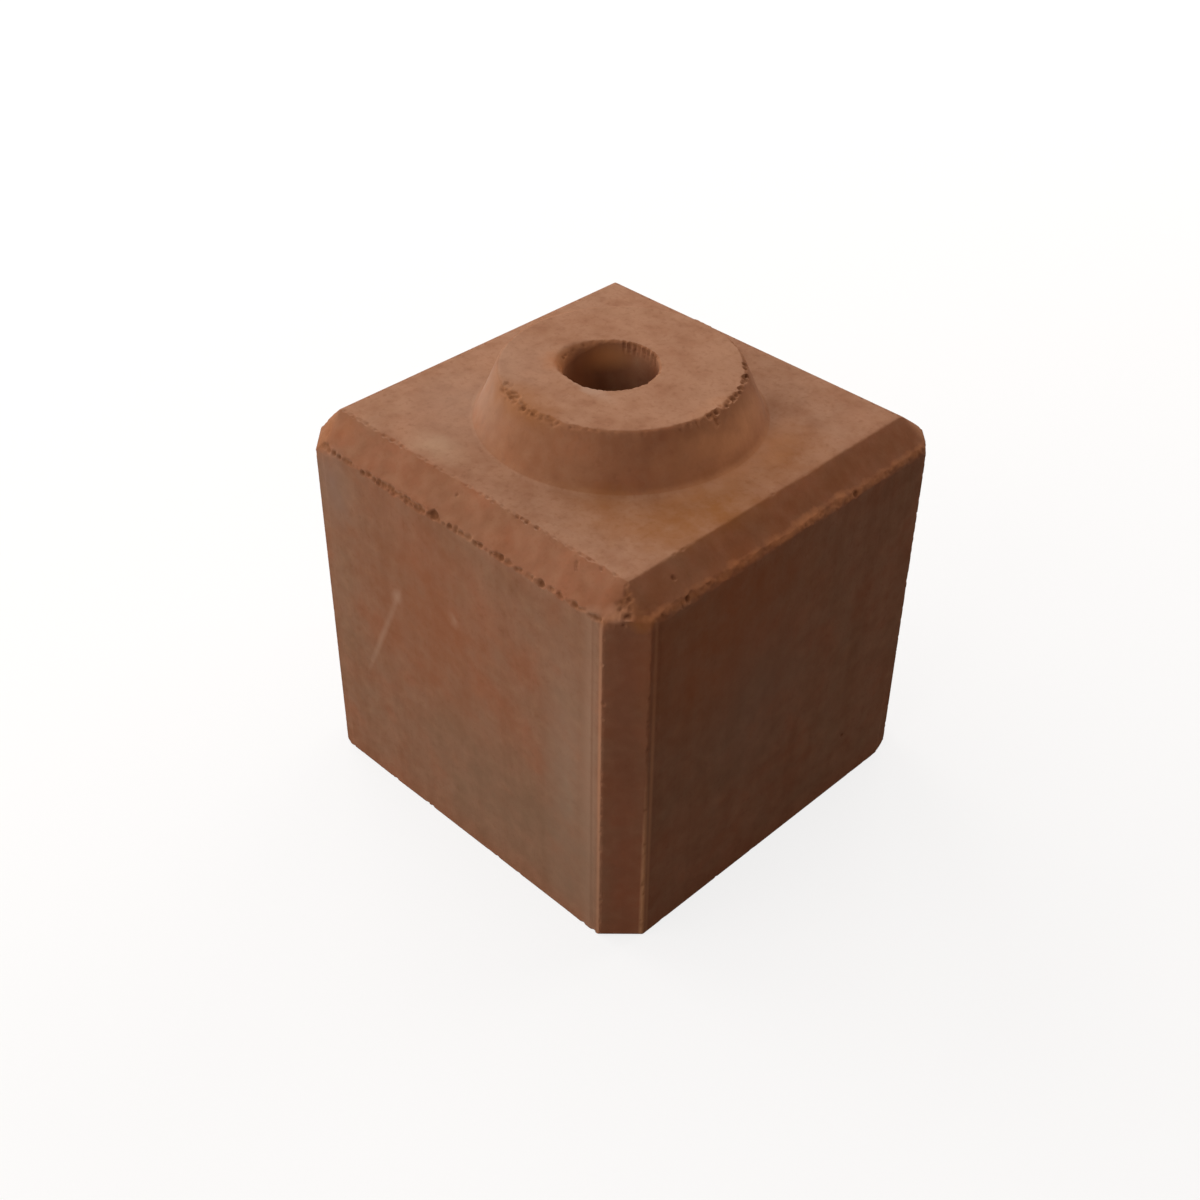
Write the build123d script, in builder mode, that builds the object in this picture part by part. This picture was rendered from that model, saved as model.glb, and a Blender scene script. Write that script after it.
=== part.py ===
"""Interlocking half block of pressed concrete.

One solid, pressed in one go: a nearly cubic body with cut corners and a chamfered top,
a tapered round boss on the top, a matching socket in the underside and a bore through both.
Millimetres, +Z up. The origin is the middle of the bottom face's outline.
"""

import os
from math import radians, tan

from build123d import *

# Body
block_length = 125.0  # along X
block_depth = 122.5  # along Y
block_height = 115.0  # bottom face to the flat top that the next course sits on
top_chamfer_run = 9.0  # inwards over the top, on all four sides
top_chamfer_drop = 6.75  # down the side faces
corner_cut = 8.25  # each leg of the 45 degree cut along the four upright corners

# Boss on the top
boss_rim_diameter = 65.5  # across the flat top of the boss
boss_height = 14.5
boss_wall_draft = 23.25  # degrees that the wall leans out towards its root
boss_rim_round = 1.0
boss_root_round = 2.0

# Socket in the underside, which takes the boss of the block below
socket_side_clearance = 1.5  # gap around the boss
socket_depth_clearance = 2.0  # gap over the boss

# Bore for a rod or grout, a little off the middle of the boss
bore_diameter = 25.5
bore_shift_x = -2.0
bore_shift_y = -2.0

wall_lean = tan(radians(boss_wall_draft))
boss_rim_radius = boss_rim_diameter / 2
boss_root_radius = boss_rim_radius + boss_height * wall_lean
boss_top = block_height + boss_height
socket_depth = boss_height + socket_depth_clearance
socket_mouth_radius = boss_root_radius + socket_side_clearance
socket_roof_radius = socket_mouth_radius - socket_depth * wall_lean

with BuildPart() as block:
    # Body: a box with its top edges chamfered, then its upright corners cut
    with BuildSketch():
        Rectangle(block_length, block_depth)
    extrude(amount=block_height)
    flat_top = block.faces().sort_by(Axis.Z)[-1]
    chamfer(
        flat_top.edges(),
        length=top_chamfer_run,
        length2=top_chamfer_drop,
        reference=flat_top,
    )
    with BuildSketch() as cut_outline:
        Rectangle(block_length, block_depth)
        chamfer(cut_outline.vertices(), length=corner_cut)
    extrude(amount=block_height, mode=Mode.INTERSECT)

    # Boss: a turned cone with a rounded rim and a rounded root
    with BuildSketch(Plane.XZ):
        with BuildLine():
            Polyline(
                (0, block_height),
                (boss_root_radius, block_height),
                (boss_rim_radius, boss_top),
                (0, boss_top),
                close=True,
            )
        make_face()
    revolve(axis=Axis.Z)
    boss_edges = block.edges().filter_by(GeomType.CIRCLE).group_by(Axis.Z)
    fillet(boss_edges[-1], radius=boss_rim_round)
    root_edge = block.edges().filter_by(GeomType.CIRCLE).group_by(Axis.Z)[0]
    fillet(root_edge, radius=boss_root_round)

    # Socket: the boss's own cone with its clearances, its mouth relieved for the boss's root
    with BuildSketch(Plane.XZ):
        with BuildLine():
            Polyline(
                (0, 0),
                (socket_mouth_radius, 0),
                (socket_roof_radius, socket_depth),
                (0, socket_depth),
                close=True,
            )
        make_face()
    revolve(axis=Axis.Z, mode=Mode.SUBTRACT)
    mouth_edge = block.edges().filter_by(GeomType.CIRCLE).group_by(Axis.Z)[0]
    chamfer(mouth_edge, length=boss_root_round)

    # Bore from the top of the boss into the socket
    with Locations((bore_shift_x, bore_shift_y, boss_top)):
        Hole(radius=bore_diameter / 2)

block.part.label = "interlocking_block"

os.makedirs("parts", exist_ok=True)
export_step(block.part, "parts/interlocking_block.step")
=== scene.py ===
import random
from math import cos, pi, radians, sin, sqrt, tan

import bmesh
import bpy
from mathutils import Matrix, Vector, kdtree, noise
from mathutils.bvhtree import BVHTree


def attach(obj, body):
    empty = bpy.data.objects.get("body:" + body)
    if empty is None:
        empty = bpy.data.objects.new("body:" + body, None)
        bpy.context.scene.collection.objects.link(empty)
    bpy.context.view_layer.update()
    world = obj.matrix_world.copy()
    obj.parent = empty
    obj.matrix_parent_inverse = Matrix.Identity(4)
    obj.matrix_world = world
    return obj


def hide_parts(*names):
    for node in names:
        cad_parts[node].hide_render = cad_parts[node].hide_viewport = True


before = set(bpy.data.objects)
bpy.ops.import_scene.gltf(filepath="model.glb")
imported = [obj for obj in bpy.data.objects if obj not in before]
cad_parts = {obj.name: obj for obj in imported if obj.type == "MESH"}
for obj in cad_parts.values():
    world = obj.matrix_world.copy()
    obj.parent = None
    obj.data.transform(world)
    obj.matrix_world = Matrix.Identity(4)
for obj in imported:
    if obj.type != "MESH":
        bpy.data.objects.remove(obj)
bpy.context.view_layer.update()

# The block: earth-dry concrete with a red-brown pigment, pressed in one go in a steel mould.
# Its faces come off the mould flat and dense. This section cuts a copy of the clean solid up finely,
# in millimetres, because the arrises that crumbled in stripping and handling are carved out of it.
pressed = bmesh.new()
pressed.from_mesh(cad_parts["interlocking_block"].data)
bmesh.ops.scale(pressed, vec=(1000, 1000, 1000), verts=pressed.verts)
bmesh.ops.remove_doubles(pressed, verts=pressed.verts, dist=0.01)
pressed_skin = BVHTree.FromBMesh(pressed)
pressed_mesh = bpy.data.meshes.new("pressed_block")
pressed.to_mesh(pressed_mesh)
block = bpy.data.objects.new("pressed_block", pressed_mesh)
bpy.context.collection.objects.link(block)

fine_grid = block.modifiers.new("fine_grid", "REMESH")
fine_grid.mode = "VOXEL"
fine_grid.voxel_size = 0.45


def bake_modifiers(piece):
    """Leaves the piece with the mesh that its modifiers make, and no modifiers."""
    made = piece.evaluated_get(bpy.context.evaluated_depsgraph_get())
    piece.data = bpy.data.meshes.new_from_object(made)
    piece.modifiers.clear()


bake_modifiers(block)
carved = bmesh.new()
carved.from_mesh(block.data)

# The boss and the socket were turned smooth, so the flats that the solid's own triangles
# leave on their tapered walls are pushed out to the true cone.
half_length, half_depth = 62.5, 61.25
corner_cut = 8.25
chamfer_foot, flat_top = 108.25, 115.0
chamfer_inset = 9.0
chamfer_slope = chamfer_inset / (flat_top - chamfer_foot)
boss_root_radius, boss_height = 38.98, 14.5
socket_gap, socket_depth = 1.5, 16.5
wall_lean = tan(radians(23.25))
clear_of_root, clear_of_rim, deepest_flat = 2.5, 1.2, 0.15
for vert in carved.verts:
    for foot, radius, height in (
        (flat_top, boss_root_radius, boss_height),
        (0.0, boss_root_radius + socket_gap, socket_depth),
    ):
        rise = vert.co.z - foot
        true_radius = radius - rise * wall_lean
        off_cone = abs(vert.co.xy.length - true_radius)
        if clear_of_root < rise < height - clear_of_rim and off_cone < deepest_flat:
            vert.co.xy *= true_radius / vert.co.xy.length

# The steel plates of the mould met in a seam beside each cut corner, which left a faint step there.
# A pair of sides is given by the axis across it and the axis along it, with the half sizes on both.
seam_step, seam_from_corner = 0.12, 3.0
seam_head = chamfer_foot - 1
side_skin = 0.02
side_pairs = ((0, 1, half_length, half_depth), (1, 0, half_depth, half_length))
for vert in carved.verts:
    for across, along, half_across, half_along in side_pairs:
        from_corner = half_along - corner_cut - abs(vert.co[along])
        on_side = abs(vert.co[across]) > half_across - side_skin
        if on_side and vert.co.z < seam_head and from_corner < seam_from_corner:
            vert.co[across] *= 1 - seam_step / half_across

# Rounded cap: over each cut corner the chamfer broke away to a rough cone. Each row gives the corner
# and the radius at the foot of the chamfer, which shrinks to nothing a little under the flat top. Lumps
# and grains of sand, by their size and their share of the radius, make it uneven.
cap_head = 114.8
cap_fade = 2.6
lump_size, lump_share = 2.2, 0.06
sand_size, sand_share = 0.9, 0.04
for side_x, side_y, foot_radius in ((1, -1, 13.0), (-1, -1, 18.0), (1, 1, 12.0), (-1, 1, 11.0)):
    for vert in carved.verts:
        if not chamfer_foot - cap_fade < vert.co.z < cap_head:
            continue
        rise = max(0.0, vert.co.z - chamfer_foot)
        radius = foot_radius * (1 - rise / (cap_head - chamfer_foot))
        lumps = lump_share * noise.noise(vert.co / lump_size)
        radius *= 1 + lumps + sand_share * noise.noise(vert.co / sand_size)
        past_x = vert.co.x * side_x - (half_length - rise * chamfer_slope - radius)
        past_y = vert.co.y * side_y - (half_depth - rise * chamfer_slope - radius)
        if past_x <= 0 or past_y <= 0:
            continue
        proud = sqrt(past_x**2 + past_y**2) - radius
        if proud > 0:
            fade = min(1.0, (vert.co.z - chamfer_foot + cap_fade) / cap_fade)
            keep = 1 - fade * proud / (proud + radius)
            vert.co.x -= side_x * past_x * (1 - keep)
            vert.co.y -= side_y * past_y * (1 - keep)

# Rubbed foot: below, the cut corners were rubbed round where the block was set down and tipped.
for side_x, side_y, radius in ((1, 1, 5.0), (-1, -1, 2.0), (1, -1, 1.2), (-1, 1, 3.0)):
    for vert in carved.verts:
        reach = vert.co.x * side_x + vert.co.y * side_y - half_length - half_depth + corner_cut
        past_cut = reach / sqrt(2) + radius
        past_foot = radius - vert.co.z
        if past_cut <= 0 or past_foot <= 0:
            continue
        proud = sqrt(past_cut**2 + past_foot**2) - radius
        if proud > 0:
            lost = proud / (proud + radius)
            vert.co.x -= side_x * past_cut * lost / sqrt(2)
            vert.co.y -= side_y * past_cut * lost / sqrt(2)
            vert.co.z += past_foot * lost

# Rubbed lip: on the left, the core rod wore the lip of the bore round as it was drawn out. The rounding
# is full at one bearing and runs out a sixth of a turn to each side of it.
bore_radius, bore_middle = 12.75, (-2.0, -2.0)
boss_top = flat_top + boss_height
lip_rounding, lip_lump_share = 3.6, 0.10
lip_bearing = radians(-160)
lip_side = Vector((cos(lip_bearing), sin(lip_bearing)))
for vert in carved.verts:
    from_bore = vert.co.xy - Vector(bore_middle)
    if vert.co.z < boss_top - lip_rounding or from_bore.length > bore_radius + lip_rounding:
        continue
    radius = lip_rounding * (2 * from_bore.normalized().dot(lip_side) - 1)
    radius *= 1 + lip_lump_share * noise.noise(vert.co / lump_size)
    past_wall = bore_radius + radius - from_bore.length
    past_top = vert.co.z - boss_top + radius
    if radius <= 0 or past_wall <= 0 or past_top <= 0:
        continue
    proud = sqrt(past_wall**2 + past_top**2) - radius
    if proud > 0:
        lost = proud / (proud + radius)
        vert.co.xy += from_bore.normalized() * past_wall * lost
        vert.co.z -= past_top * lost

# Worn arrises: every sharp outer edge has lost its sand grains. Each row gives the lowest and the
# highest corner of the space that it holds in, the even rounding, the depth of a lost grain and the
# share of the grains that are gone; the last row that holds a place counts.
arris_wear = (
    ((-63, -62, -1), (63, 62, 130), 0.10, 0.20, 0.20),
    ((-63, -62, -1), (63, 62, 3), 0.12, 0.15, 0.15),
    ((-63, -62, 107), (63, 62, 114), 0.14, 0.40, 0.50),
    ((61, -62, 107), (63, 62, 109), 0.40, 0.30, 0.40),
    ((-63, -62, 114), (63, 62, 116), 0.08, 0.22, 0.50),
    ((52, -62, 114), (55, 62, 116), 0.06, 0.06, 0.20),
    ((-34, -34, 128), (34, 34, 130), 0.08, 0.14, 0.25),
)
arris_angle, sample_spacing = radians(18), 0.5
root_floor, root_head, root_reach = flat_top - 0.1, flat_top + 3, 45
arris_samples = []
for edge in pressed.edges:
    on_boss_root = all(root_floor < v.co.z < root_head and v.co.xy.length < root_reach for v in edge.verts)
    if edge.calc_face_angle_signed() > arris_angle and not on_boss_root:
        outwards = (edge.link_faces[0].normal + edge.link_faces[1].normal).normalized()
        start, end = (v.co for v in edge.verts)
        steps = max(1, round(edge.calc_length() / sample_spacing))
        for step in range(steps + 1):
            point = start.lerp(end, step / steps)
            held = [
                wear
                for lowest, highest, *wear in arris_wear
                if all(low <= at <= high for low, at, high in zip(lowest, point, highest))
            ]
            arris_samples.append((point, outwards, held[-1]))
arrises = kdtree.KDTree(len(arris_samples))
for index, sample in enumerate(arris_samples):
    arrises.insert(sample[0], index)
arrises.balance()

# Wear comes in patches, from about 0 where an arris is whole to 1 where it is rubbed. In them luck, from 0
# to 1, says which grains are gone. They are spread out for the draw, so that neighbours seldom share it.
grain_size, grain_spread = 1.4, 7.3
patch_size, arris_reach, sand_depth = 20.0, 4.0, 0.05
for vert in carved.verts:
    point, index, gap = arrises.find(vert.co)
    if gap > arris_reach:
        continue
    outwards, (rounding, grain_depth, share) = arris_samples[index][1:]
    patch = 0.5 + 0.9 * noise.noise(vert.co / patch_size)
    grain = noise.voronoi(vert.co / grain_size)[1][0]
    luck = 0.5 + 0.5 * noise.cell(grain * grain_spread)
    cut = rounding * (0.6 + patch)
    if luck < share * (0.4 + 1.2 * patch):
        cut += grain_depth * (0.45 + 0.55 * patch) * (0.5 + luck)
    cut += sand_depth * noise.noise(vert.co / sand_size)
    proud = (vert.co - point).dot(outwards) + cut
    if proud > 0:
        vert.co -= outwards * proud
worn_skin = BVHTree.FromBMesh(carved)

# Pits: clusters of grains torn out of the arrises and faces, each scooped from the worn block.
# A pit is its place, its width and its depth.
pits = [
    # front foot of the chamfer, left to right
    (-46.5, -61.25, 108.2, 2.2, 0.8),
    (-44.0, -61.25, 108.1, 1.8, 0.7),
    (-32.0, -61.25, 108.3, 1.9, 0.7),
    (-27.6, -61.25, 108.2, 1.8, 0.7),
    (-6.2, -61.25, 108.3, 3.2, 1.5),
    (0.3, -61.25, 108.2, 1.8, 0.7),
    (11.6, -61.25, 108.2, 1.9, 0.8),
    (18.8, -61.25, 108.3, 2.2, 1.0),
    (33.0, -61.25, 108.2, 2.2, 1.0),
    (44.6, -61.25, 108.2, 2.6, 0.9),
    (51.6, -61.25, 108.0, 2.4, 0.8),
    # flecks in the front chamfer and along its upper arris
    (-3.5, -55.1, 112.9, 1.5, 0.35),
    (38.4, -54.2, 113.6, 1.3, 0.35),
    (39.0, -54.8, 113.1, 1.3, 0.35),
    (39.6, -55.4, 112.6, 1.2, 0.30),
    (45.5, -53.0, 114.4, 1.2, 0.30),
    (16.1, -52.6, 114.7, 1.4, 0.45),
    (19.3, -52.5, 114.8, 1.5, 0.50),
    (22.8, -52.4, 114.9, 1.6, 0.55),
    # right foot of the chamfer, and the chamfer
    (62.5, 23.0, 108.2, 2.2, 0.6),
    (62.5, -40.5, 108.2, 2.4, 0.6),
    (57.4, -40.7, 112.1, 1.6, 0.4),
    # single pores in the side faces
    (62.5, 30.3, 20.0, 1.6, 0.5),
    (62.5, -8.0, 33.0, 1.1, 0.3),
    (-37.0, -61.25, 92.0, 1.2, 0.25),
]
rim_radius = 32.75


def round_rim(radius, middle, bearing, height):
    """The place on a circle round the boss or the bore at a bearing in degrees."""
    turn = radians(bearing)
    return Vector((middle[0] + radius * cos(turn), middle[1] + radius * sin(turn), height))


# The core rod dragged grains out of the back of the bore. Each drag mark is a row of pits, one under
# another, that get narrower and shallower on the way down.
drag_top, drag_step = 0.2, 0.8
for bearing in (118, 111, 104, 98, 90, 83, 75, 68):
    for drop in range(5):
        place = round_rim(bore_radius, bore_middle, bearing, boss_top - drag_top - drag_step * drop)
        pits.append((*place, 1.4 - 0.15 * drop, 0.6 - 0.1 * drop))

# Crumbled stretches: small pits strewn along an arris, between two places or two bearings.
# Each gives the number of pits, how far they stray from the arris, their widths and their depths.
luck_of_grains = random.Random(4)
small = (0.3, (0.8, 1.5), (0.15, 0.35))
middling = (0.6, (0.7, 2.3), (0.2, 0.65))
deep = (0.5, (1.0, 2.2), (0.4, 0.9))
ragged = (1.2, (0.9, 1.9), (0.2, 0.4))
broad = (0.8, (3.5, 5.5), (0.3, 0.5))
straight_stretches = [
    ((-54, -61.25, 108.1), (-38, -61.25, 108.1), 22, middling),
    ((-35, -61.25, 108.0), (-24, -61.25, 108.0), 16, middling),
    ((-24, -61.25, 108.1), (-8, -61.25, 107.6), 30, middling),
    ((-8, -61.25, 108.2), (53, -61.25, 108.2), 70, middling),
    ((-30, -61.25, 107.2), (-10, -61.25, 107.0), 16, middling),
    ((62.5, -50, 108.2), (62.5, 50, 108.2), 8, small),
    ((-53, -52.25, 115), (53, -52.25, 115), 70, small),
    ((53.5, -52, 115), (53.5, 52, 115), 4, small),
    ((53.8, -52.6, 114.7), (56.8, -56.6, 108.4), 18, ragged),
    ((53, 61.25, 108.2), (-53, 61.25, 108.2), 80, middling),
    ((-62.5, 53, 108.2), (-62.5, -53, 108.2), 80, middling),
    ((53, 52.25, 115), (-53, 52.25, 115), 40, small),
    ((-53.5, 52, 115), (-53.5, -52, 115), 40, small),
]
cut_x, cut_y = half_length - corner_cut, half_depth - corner_cut
for side in (-1, 1):
    straight_stretches += [
        ((cut_x * side, -half_depth, 2), (cut_x * side, -half_depth, 106), 16, small),
        ((half_length * side, -cut_y, 2), (half_length * side, -cut_y, 106), 16, small),
        ((cut_x * side, half_depth, 2), (cut_x * side, half_depth, 106), 16, small),
        ((half_length * side, cut_y, 2), (half_length * side, cut_y, 106), 16, small),
        ((-54, half_depth * side, 0.1), (54, half_depth * side, 0.1), 10, small),
        ((half_length * side, -cut_y, 0.1), (half_length * side, cut_y, 0.1), 10, small),
    ]
round_stretches = (
    (rim_radius, (0.0, 0.0), -116, -78, 9, broad),
    (rim_radius, (0.0, 0.0), -120, -66, 50, ragged),
    (rim_radius, (0.0, 0.0), -116, -84, 7, deep),
    (rim_radius, (0.0, 0.0), -66, -12, 9, small),
    (rim_radius, (0.0, 0.0), -4, 48, 34, deep),
    (rim_radius, (0.0, 0.0), 48, 205, 60, small),
    (bore_radius, bore_middle, -180, -95, 12, small),
    (bore_radius, bore_middle, -95, 180, 40, small),
)
rim_height = boss_top - 0.1
strewn = []
for start, end, count, kind in straight_stretches:
    strewn += [(Vector(start).lerp(Vector(end), luck_of_grains.random()), kind) for _ in range(count)]
for radius, middle, first, last, count, kind in round_stretches:
    bearings = [luck_of_grains.uniform(first, last) for _ in range(count)]
    strewn += [(round_rim(radius, middle, bearing, rim_height), kind) for bearing in bearings]
for place, (stray, widths, depths) in strewn:
    place += Vector([luck_of_grains.uniform(-stray, stray) for _ in range(3)])
    pits.append((*place, luck_of_grains.uniform(*widths), luck_of_grains.uniform(*depths)))

vert_places = kdtree.KDTree(len(carved.verts))
for vert in carved.verts:
    vert_places.insert(vert.co, vert.index)
vert_places.balance()
carved.verts.ensure_lookup_table()

# Each pit is the hollow of a rough ball. Close to an arris it is scooped straight into the arris, and
# elsewhere into the face. A large ball is rough in a smaller share of its radius.
close_to_arris, scoop_reach = 2, 1.6
ball_roughness, ball_lump_size, rough_radius = 0.16, 1.1, 3.0
for x, y, z, width, depth in pits:
    spot = Vector((x, y, z))
    _, index, gap = arrises.find(spot)
    inwards = -arris_samples[index][1] if gap < close_to_arris else -pressed_skin.find_nearest(spot)[1]
    spot = worn_skin.find_nearest(spot)[0]
    half_width = width / 2
    ball = (half_width**2 + depth**2) / (2 * depth)
    ball_middle = spot - inwards * (ball - depth)
    for _, index, _ in vert_places.find_range(spot, scoop_reach * half_width):
        vert = carved.verts[index]
        lumps = ball_roughness * noise.noise(vert.co / ball_lump_size)
        rough_ball = ball * (1 + lumps * min(1.0, rough_radius / ball))
        offset = vert.co - ball_middle
        along = offset.dot(inwards)
        across = offset.length_squared - along**2
        if across < rough_ball**2:
            push = sqrt(rough_ball**2 - across) - along
            if push > 0:
                vert.co += inwards * push

# The fine grid is all squares, two triangles each. It is thinned, most where the block is flat, and
# shaded smooth apart from its creases.
triangle_count, crease_angle = 180_000, radians(50)
carved.to_mesh(block.data)
carved.free()
thinning = block.modifiers.new("thinning", "DECIMATE")
thinning.ratio = triangle_count / (2 * len(block.data.polygons))
bake_modifiers(block)
block.data.shade_smooth()
block.data.set_sharp_from_angle(angle=crease_angle)
flat_faces = block.modifiers.new("flat_faces", "WEIGHTED_NORMAL")
flat_faces.mode = "FACE_AREA"
flat_faces.keep_sharp = True
bake_modifiers(block)

# How deep each point lies under the pressed skin and under the worn skin, so that the material can
# show the sand of the core where the arrises are rubbed and painted shade in the pits. A long triangle
# lies in a whole face, so it shows none, whatever its corners have lost.
long_edge = 3.0
verts = block.data.vertices
for name, skin in (("worn_depth", pressed_skin), ("pit_depth", worn_skin)):
    depths = [skin.find_nearest(vert.co)[3] for vert in verts]
    shown = block.data.attributes.new(name, "FLOAT", "CORNER").data
    for face in block.data.polygons:
        longest = max((verts[a].co - verts[b].co).length for a, b in face.edge_keys)
        for corner, index in zip(face.loop_indices, face.vertices):
            shown[corner].value = depths[index] if longest < long_edge else 0.0
block.data.transform(Matrix.Scale(0.001, 4))
pressed.free()


# Pigmented pressed concrete: a matt red-brown paste full of fine sand. A grey-brown film of cement lies
# on the faces that met steel and a paler dust, with painted sheen, on what faces up; the slopes are rubbed
# redder. Soft olive and red clouds show all over and orange sand where an arris is worn. Painted shade
# darkens the pits, the bore, the right chamfer and the top beside the boss; painted light brightens the boss
# walls.
def linear(hex_colour):
    """An sRGB hex colour as the linear RGBA that shader sockets take."""
    channels = [int(hex_colour[i : i + 2], 16) / 255 for i in (1, 3, 5)]
    return [c / 12.92 if c <= 0.04045 else ((c + 0.055) / 1.055) ** 2.4 for c in channels] + [1.0]


def add_node(tree, kind, sockets=None, **settings):
    """Adds a node with its settings; each socket is given a value or the output that feeds it."""
    node = tree.nodes.new(kind)
    for name, value in settings.items():
        setattr(node, name, value)
    for name, value in (sockets or {}).items():
        if isinstance(value, bpy.types.NodeSocket):
            tree.links.new(value, node.inputs[name])
        else:
            node.inputs[name].default_value = value
    return node


concrete = bpy.data.materials.new("pigmented_pressed_concrete")
concrete.use_nodes = True
tree = concrete.node_tree
shader = tree.nodes["Principled BSDF"]
metres = add_node(tree, "ShaderNodeTexCoord").outputs["Object"]
place = add_node(tree, "ShaderNodeMapping", {"Vector": metres, "Scale": (1000, 1000, 1000)}).outputs["Vector"]
height = add_node(tree, "ShaderNodeSeparateXYZ", {"Vector": place}).outputs["Z"]
normal = add_node(tree, "ShaderNodeNewGeometry").outputs["Normal"]
up = add_node(tree, "ShaderNodeSeparateXYZ", {"Vector": normal}).outputs["Z"]
unsigned = add_node(tree, "ShaderNodeVectorMath", {0: normal}, operation="ABSOLUTE").outputs["Vector"]
facing = add_node(tree, "ShaderNodeSeparateXYZ", {"Vector": unsigned}).outputs
sideways = add_node(tree, "ShaderNodeMath", {0: facing["X"], 1: facing["Y"]}, operation="MAXIMUM").outputs[0]
skin_loss = {}
for name in ("worn_depth", "pit_depth"):
    skin_loss[name] = add_node(tree, "ShaderNodeAttribute", attribute_name=name).outputs["Fac"]

# Nearness to the boss and to the bore: 1 in the middle of each and 0 at its half sizes.
near = {}
round_forms = (
    ("boss", (0, 0, 122), (100, 100, 100)),
    ("bore", (-2, -2, 60), (14.6, 14.6, 110)),
)
for part, middle, half_sizes in round_forms:
    sockets = {"Vector": place, "Location": middle, "Scale": half_sizes}
    spot = add_node(tree, "ShaderNodeMapping", sockets, vector_type="TEXTURE").outputs["Vector"]
    falloff = add_node(tree, "ShaderNodeTexGradient", {"Vector": spot}, gradient_type="SPHERICAL")
    near[part] = falloff.outputs["Fac"]

# Noise of six sizes in millimetres: clouds, mottling and grains. The real sand is too fine to show at this
# distance, so the grains are drawn coarser. Pushed out of the mould, the sides were drawn into faint
# upright streaks.
cloud = {}
for size in (46, 34, 14, 9, 3.2, 1.6):
    sockets = {"Vector": place, "Scale": 1 / size, "Detail": 4.0, "Roughness": 0.6}
    cloud[size] = add_node(tree, "ShaderNodeTexNoise", sockets).outputs["Fac"]
streak_width, streak_length = 5, 70
streak_scale = (1 / streak_width, 1 / streak_width, 1 / streak_length)
drawn = add_node(tree, "ShaderNodeMapping", {"Vector": place, "Scale": streak_scale}).outputs["Vector"]
streaks = add_node(tree, "ShaderNodeTexNoise", {"Vector": drawn, "Scale": 1.0, "Detail": 3.0}).outputs["Fac"]

# Marks on this block, some of them painted light, shade and sheen: place, half sizes and the turn about Y in
# degrees, strength, colour. Bands are straight and even; stains wander and are broken up by the mottling.
bands = (
    # drawn bands and seam lines beside the front cut, its darker face and its pale foot
    ((50.5, -61.25, 52), (4.2, 3, 110), 0, 0.50, "#A4836C"),
    ((50.9, -61.25, 52), (0.6, 3, 90), 0, 0.45, "#7C543F"),
    ((53.5, -61.25, 52), (0.8, 3, 100), 0, 0.60, "#C08A69"),
    ((62.5, -51.5, 52), (3, 0.9, 110), 0, 0.60, "#BC8A68"),
    ((58.4, -57.1, 52), (8, 8, 140), 0, 0.42, "#7F4A36"),
    ((62.3, -53.0, 8), (1.1, 1.1, 60), 0, 0.80, "#D09A72"),
    # pale scrape on the front face
    ((-30.6, -61.25, 57), (1.5, 3, 24), 24.9, 0.36, "#B8977F"),
    ((-23.8, -61.25, 72.6), (2.4, 3, 4.0), 30, 0.42, "#BA9B84"),
    # painted light, brown on the upper back and paler low on the left wall of the bore; painted shade on its
    # right wall
    ((-12, 5, 124.6), (9, 9, 5.2), 0, 0.85, "#BC8254"),
    ((-15, -7, 114), (12, 12, 16), 0, 0.90, "#C68A60"),
    ((6, 9, 120.5), (12, 12, 8.5), 0, 0.85, "#5A2A16"),
    # broken corner over the front cut
    ((56.4, -59.0, 110.0), (4.6, 4.6, 2.6), 0, 0.60, "#C9987A"),
)
stains_and_painted_light = (
    # pale speck on the front face
    ((-0.7, -61.25, 78.0), (2.0, 3, 3.4), -15, 0.60, "#B3927A"),
    # grey cement at its right end, grey-violet cloud at its left, red patch in its middle, grey low down
    ((42, -61.25, 45), (11, 4, 62), 0, 0.45, "#9A8470"),
    ((-48, -61.25, 97), (9, 4, 16), 0, 0.50, "#8E7567"),
    ((-8, -61.25, 72), (40, 5, 44), 0, 0.50, "#93593B"),
    ((20, -61.25, 24), (64, 5, 36), 0, 0.48, "#7D6752"),
    # pale scuff, rusty left corner, painted shadow of the boss at its front and right, and ochre stains, on
    # the top
    ((-21.5, -46, 115), (13, 6.5, 3), 0, 0.42, "#BCA084"),
    ((-49, -54, 112), (8, 6, 5), 0, 0.22, "#A0592F"),
    ((34, -34, 115), (24, 14, 4), 0, 0.50, "#8F5A2B"),
    ((47, -16, 115), (17, 26, 4), 0, 0.75, "#8C5728"),
    ((44, 14, 115), (13, 20, 4), 0, 0.55, "#915B2D"),
    ((-44, 20, 115), (12, 16, 4), 0, 0.50, "#A06C44"),
    ((-18, 42, 115), (16, 12, 4), 0, 0.50, "#A06C44"),
    # painted shade in brown patches and a sandy foot on the right chamfer, and the end of the broken corner
    ((58, 0, 112.0), (9, 140, 6), 0, 0.55, "#774626"),
    ((61.8, 0, 108.6), (2.2, 140, 1.5), 0, 0.90, "#B67B54"),
    ((60.5, -55.6, 107.6), (4, 4, 2.6), 0, 0.60, "#A86A3A"),
    # red-brown upper part and grey haze on the right face
    ((62.5, -24, 92), (5, 44, 40), 0, 0.60, "#985B38"),
    ((62.5, -12, 62), (4, 26, 38), 0, 0.30, "#857061"),
    # painted sheen on the lit left wall of the boss, and painted light on its right wall
    ((-27, -25, 121), (28, 24, 15), 0, 0.42, "#A68D7B"),
    ((36, 4, 121), (12, 34, 12), 0, 0.85, "#CC9269"),
    # crumbled front-left rim, and the rubbed left lip and pale front lip of the bore
    ((-6, -31, 128.5), (18, 8, 5), 0, 0.60, "#95623B"),
    ((-13, -10, 127.5), (7, 8, 4), 0, 0.75, "#B06E42"),
    ((3, -14.5, 129.4), (12, 3, 1.5), 0, 0.40, "#B79C88"),
)
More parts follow.
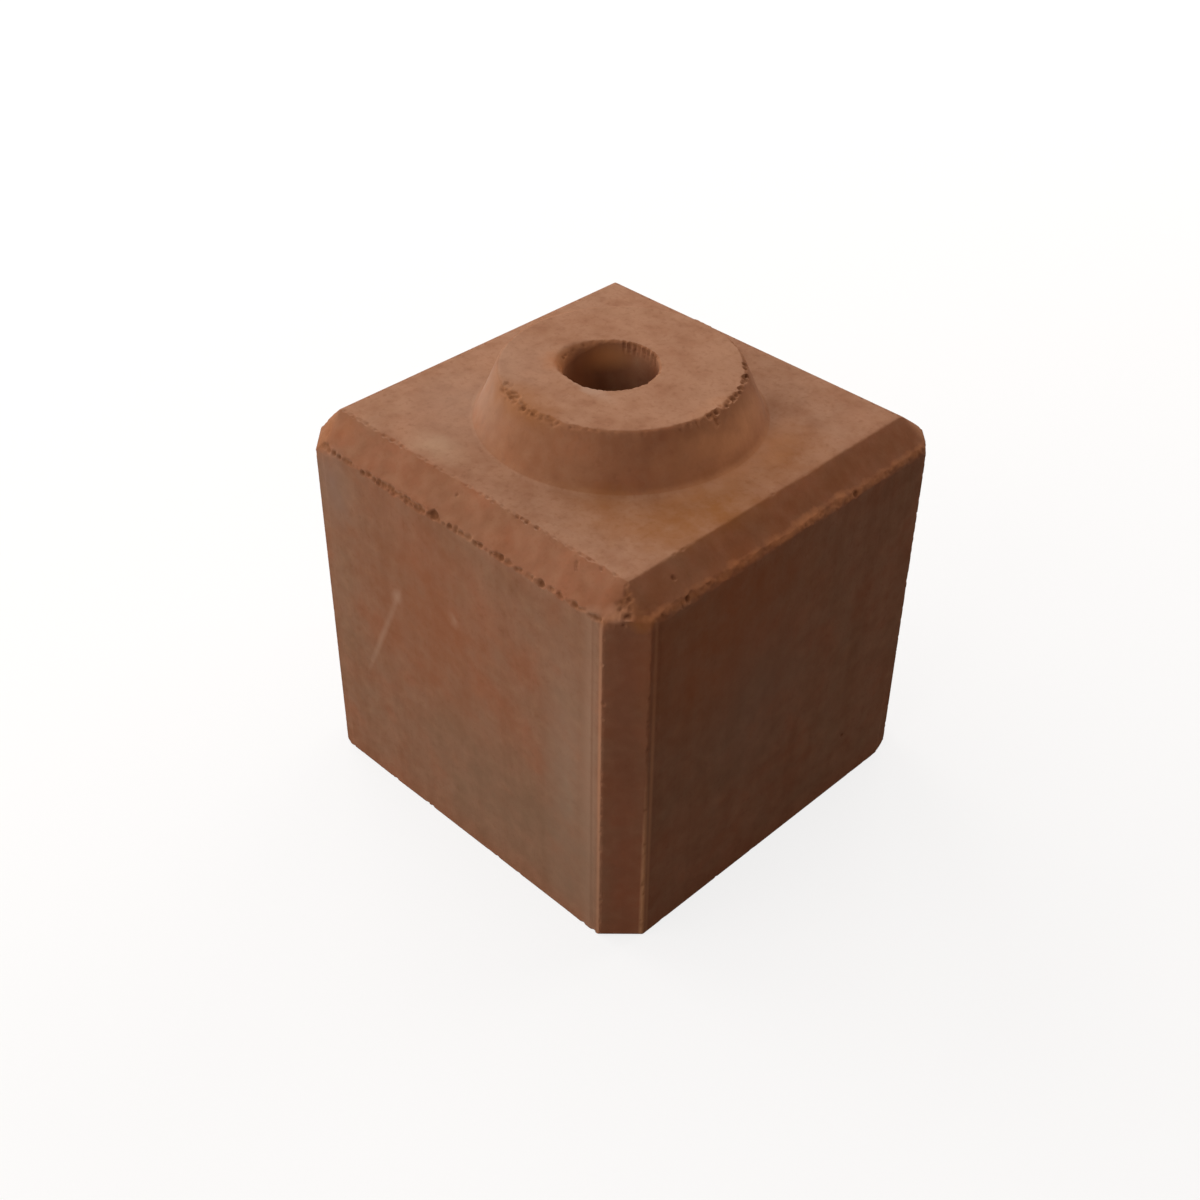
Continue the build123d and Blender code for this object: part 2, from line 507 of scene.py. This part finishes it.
wander_size, wander_reach = 5, (5, 5, 5)
sockets = {"Vector": place, "Scale": 1 / wander_size, "Detail": 3.0}
wander = add_node(tree, "ShaderNodeTexNoise", sockets).outputs["Color"]
centred = add_node(tree, "ShaderNodeVectorMath", {0: wander, 1: (0.5, 0.5, 0.5)}, operation="SUBTRACT")
sockets = {0: centred.outputs["Vector"], 1: wander_reach, 2: place}
wandering = add_node(tree, "ShaderNodeVectorMath", sockets, operation="MULTIPLY_ADD").outputs["Vector"]
band_full, wandering_full = 0.8, 0.5
marks = []
for rows, coordinates, full in ((bands, place, band_full), (stains_and_painted_light, wandering, wandering_full)):
    for middle, half_sizes, turn, strength, hex_colour in rows:
        sockets = {
            "Vector": coordinates,
            "Location": middle,
            "Rotation": (0, radians(turn), 0),
            "Scale": half_sizes,
        }
        spot = add_node(tree, "ShaderNodeMapping", sockets, vector_type="TEXTURE").outputs["Vector"]
        falloff = add_node(tree, "ShaderNodeTexGradient", {"Vector": spot}, gradient_type="SPHERICAL")
        nearness = falloff.outputs["Fac"]
        if rows is stains_and_painted_light:
            sockets = {0: nearness, 1: cloud[9]}
            nearness = add_node(tree, "ShaderNodeMath", sockets, operation="MULTIPLY").outputs[0]
        marks.append((nearness, 0.0, full, strength, hex_colour))

# The colour, from the paste up: what each layer goes by, where it starts and is full, its strength and hue.
layers = (
    (cloud[34], 0.42, 0.66, 0.70, "#86624A"),
    (cloud[46], 0.50, 0.70, 0.55, "#985C40"),
    (sideways, 0.94, 0.985, 0.55, "#96715A"),
    (cloud[14], 0.51, 0.66, 0.34, "#9C5D40"),
    (cloud[14], 0.49, 0.34, 0.34, "#84674F"),
    (near["boss"], 0.50, 0.56, 0.45, "#9C6B4B"),
    # paler dust on what faces up, partly painted sheen
    (up, 0.90, 0.99, 0.70, "#A98167"),
    # painted shade inside the bore
    (near["bore"], 0.0, 0.08, 0.50, "#3C2114"),
    (height, 9.0, 1.0, 0.40, "#96583A"),
    (streaks, 0.45, 0.70, 0.28, "#7A5038"),
    (cloud[9], 0.42, 0.72, 0.42, "#825339"),
    (cloud[3.2], 0.46, 0.74, 0.34, "#A97F62"),
    (cloud[1.6], 0.50, 0.76, 0.40, "#73462F"),
    *marks,
    (skin_loss["worn_depth"], 0.20, 0.70, 0.30, "#98653F"),
    # painted shade in the pits
    (skin_loss["pit_depth"], 0.15, 0.70, 0.60, "#5E3822"),
)
# The colour sockets of a mix go by number, because their names are shared with its other sockets.
colour = linear("#8F6148")
mix_share, mix_from, mix_to, mix_result = 0, 6, 7, 2
for value, low, high, strength, hex_colour in layers:
    sockets = {"Value": value, "From Min": low, "From Max": high, "To Max": strength}
    share = add_node(tree, "ShaderNodeMapRange", sockets).outputs["Result"]
    sockets = {mix_share: share, mix_from: colour, mix_to: linear(hex_colour)}
    colour = add_node(tree, "ShaderNodeMix", sockets, data_type="RGBA").outputs[mix_result]
tree.links.new(colour, shader.inputs["Base Color"])

# The grit is fine relief. The surface is dry and open, so it is matt all over and shows next to no gloss.
sockets = {"Vector": place, "Scale": 1 / sand_size, "Detail": 3.0}
grit = add_node(tree, "ShaderNodeTexNoise", sockets).outputs["Fac"]
relief = add_node(tree, "ShaderNodeBump", {"Height": grit, "Strength": 0.3, "Distance": 0.00015})
tree.links.new(relief.outputs["Normal"], shader.inputs["Normal"])
sockets = {"Value": cloud[9], "From Min": 0.35, "From Max": 0.65, "To Min": 0.88, "To Max": 1.0}
matt = add_node(tree, "ShaderNodeMapRange", sockets)
tree.links.new(matt.outputs["Result"], shader.inputs["Roughness"])
shader.inputs["Specular IOR Level"].default_value = 0.05

block.data.materials.clear()
block.data.materials.append(concrete)
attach(block, "root")
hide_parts("interlocking_block")

# The floor: a plain pale studio paper that the block stands on. It is nearly white to the camera
# and keeps the block's soft shadow, but throws only little light back onto the block's sides.
floor_half_size, floor_drop = 0.9, 0.00005
floor_mesh = bpy.data.meshes.new("floor")
flat = bmesh.new()
bmesh.ops.create_grid(flat, x_segments=1, y_segments=1, size=floor_half_size)
bmesh.ops.translate(flat, verts=flat.verts, vec=(0, 0, -floor_drop))
flat.to_mesh(floor_mesh)
flat.free()
floor = bpy.data.objects.new("floor", floor_mesh)
bpy.context.collection.objects.link(floor)


def seen_as_backdrop(tree):
    """Gives 1 for rays that show the backdrop to the camera, in gloss or through glass, and 0 for others."""
    rays = add_node(tree, "ShaderNodeLightPath").outputs
    seen = rays["Is Camera Ray"]
    for kind in ("Is Glossy Ray", "Is Transmission Ray"):
        seen = add_node(tree, "ShaderNodeMath", {0: seen, 1: rays[kind]}, operation="MAXIMUM").outputs[0]
    return seen


paper = bpy.data.materials.new("pale_studio_paper")
paper.use_nodes = True
tree = paper.node_tree
tree.nodes.clear()
seen = seen_as_backdrop(tree)
glow = add_node(tree, "ShaderNodeEmission", {"Color": linear("#FFFFFF")})
shaded = add_node(tree, "ShaderNodeBsdfDiffuse", {"Color": linear("#F4F2EF")})
white = add_node(tree, "ShaderNodeMixShader", {0: 0.80, 1: shaded.outputs[0], 2: glow.outputs[0]})
dull = add_node(tree, "ShaderNodeBsdfDiffuse", {"Color": linear("#7A7A7A")})
sweep = add_node(tree, "ShaderNodeMixShader", {0: seen, 1: dull.outputs[0], 2: white.outputs[0]})
add_node(tree, "ShaderNodeOutputMaterial", {"Surface": sweep.outputs[0]})
floor_mesh.materials.append(paper)


# The light: wide soft boxes at the front left, the left, the back right and overhead, as if the block
# stood in a bright room with its right side turned away from the windows, and a weak warm fill all round.
# A level is what a small lamp would give a white face turned straight at it; these wide ones give less.
def soft_box(name, bearing, rise, level, distance=1.2, size=1.4):
    """A square lamp turned to the middle of the block's foot, at a bearing and a rise in degrees."""
    lamp = bpy.data.lights.new(name, "AREA")
    lamp.size = size
    lamp.energy = level * (pi * distance) ** 2
    turn, lift = radians(bearing), radians(rise)
    towards = Vector((cos(turn) * cos(lift), sin(turn) * cos(lift), sin(lift)))
    facing_block = towards.to_track_quat("Z", "Y").to_matrix().to_4x4()
    box = bpy.data.objects.new(name, lamp)
    box.matrix_world = Matrix.Translation(towards * distance) @ facing_block
    bpy.context.collection.objects.link(box)


soft_box("front_left_soft_box", -105, 20, 0.84)
soft_box("left_soft_box", 180, 26, 1.05)
soft_box("back_right_soft_box", 95, 14, 1.06)
soft_box("overhead_soft_box", 0, 89, 0.30)

world = bpy.data.worlds.new("fill")
bpy.context.scene.world = world
world.use_nodes = True
tree = world.node_tree
tree.nodes.clear()
seen = seen_as_backdrop(tree)
fill = add_node(tree, "ShaderNodeBackground", {"Color": linear("#FFBE8C"), "Strength": 0.13})
backdrop = add_node(tree, "ShaderNodeBackground", {"Color": linear("#FFFFFF"), "Strength": 1.0})
sky = add_node(tree, "ShaderNodeMixShader", {0: seen, 1: fill.outputs[0], 2: backdrop.outputs[0]})
add_node(tree, "ShaderNodeOutputWorld", {"Surface": sky.outputs[0]})
bpy.context.scene.view_settings.view_transform = "Standard"

# The camera: about half a metre from the block's middle, off its front corner and looking down, as in the
# photograph. It aims a little aside of the middle, which puts the block where the photograph has it.
lens = bpy.data.cameras.new("camera")
lens.lens = 50.547
lens.sensor_width = 36.0
turn, lift, roll = radians(44.58), radians(37.82), radians(0.61)
back = Vector((sin(turn) * cos(lift), -cos(turn) * cos(lift), sin(lift)))
horizon = Vector((cos(turn), sin(turn), 0))
above = back.cross(horizon)
right = horizon * cos(roll) + above * sin(roll)
upwards = above * cos(roll) - horizon * sin(roll)
middle_height, aim_left, aim_below, distance = 0.0575, 0.0051, 0.00469, 0.485
stand = Vector((0, 0, middle_height)) - right * aim_left - upwards * aim_below + back * distance
camera = bpy.data.objects.new("camera", lens)
camera.matrix_world = Matrix.Translation(stand) @ Matrix((right, upwards, back)).transposed().to_4x4()
bpy.context.collection.objects.link(camera)
bpy.context.scene.camera = camera
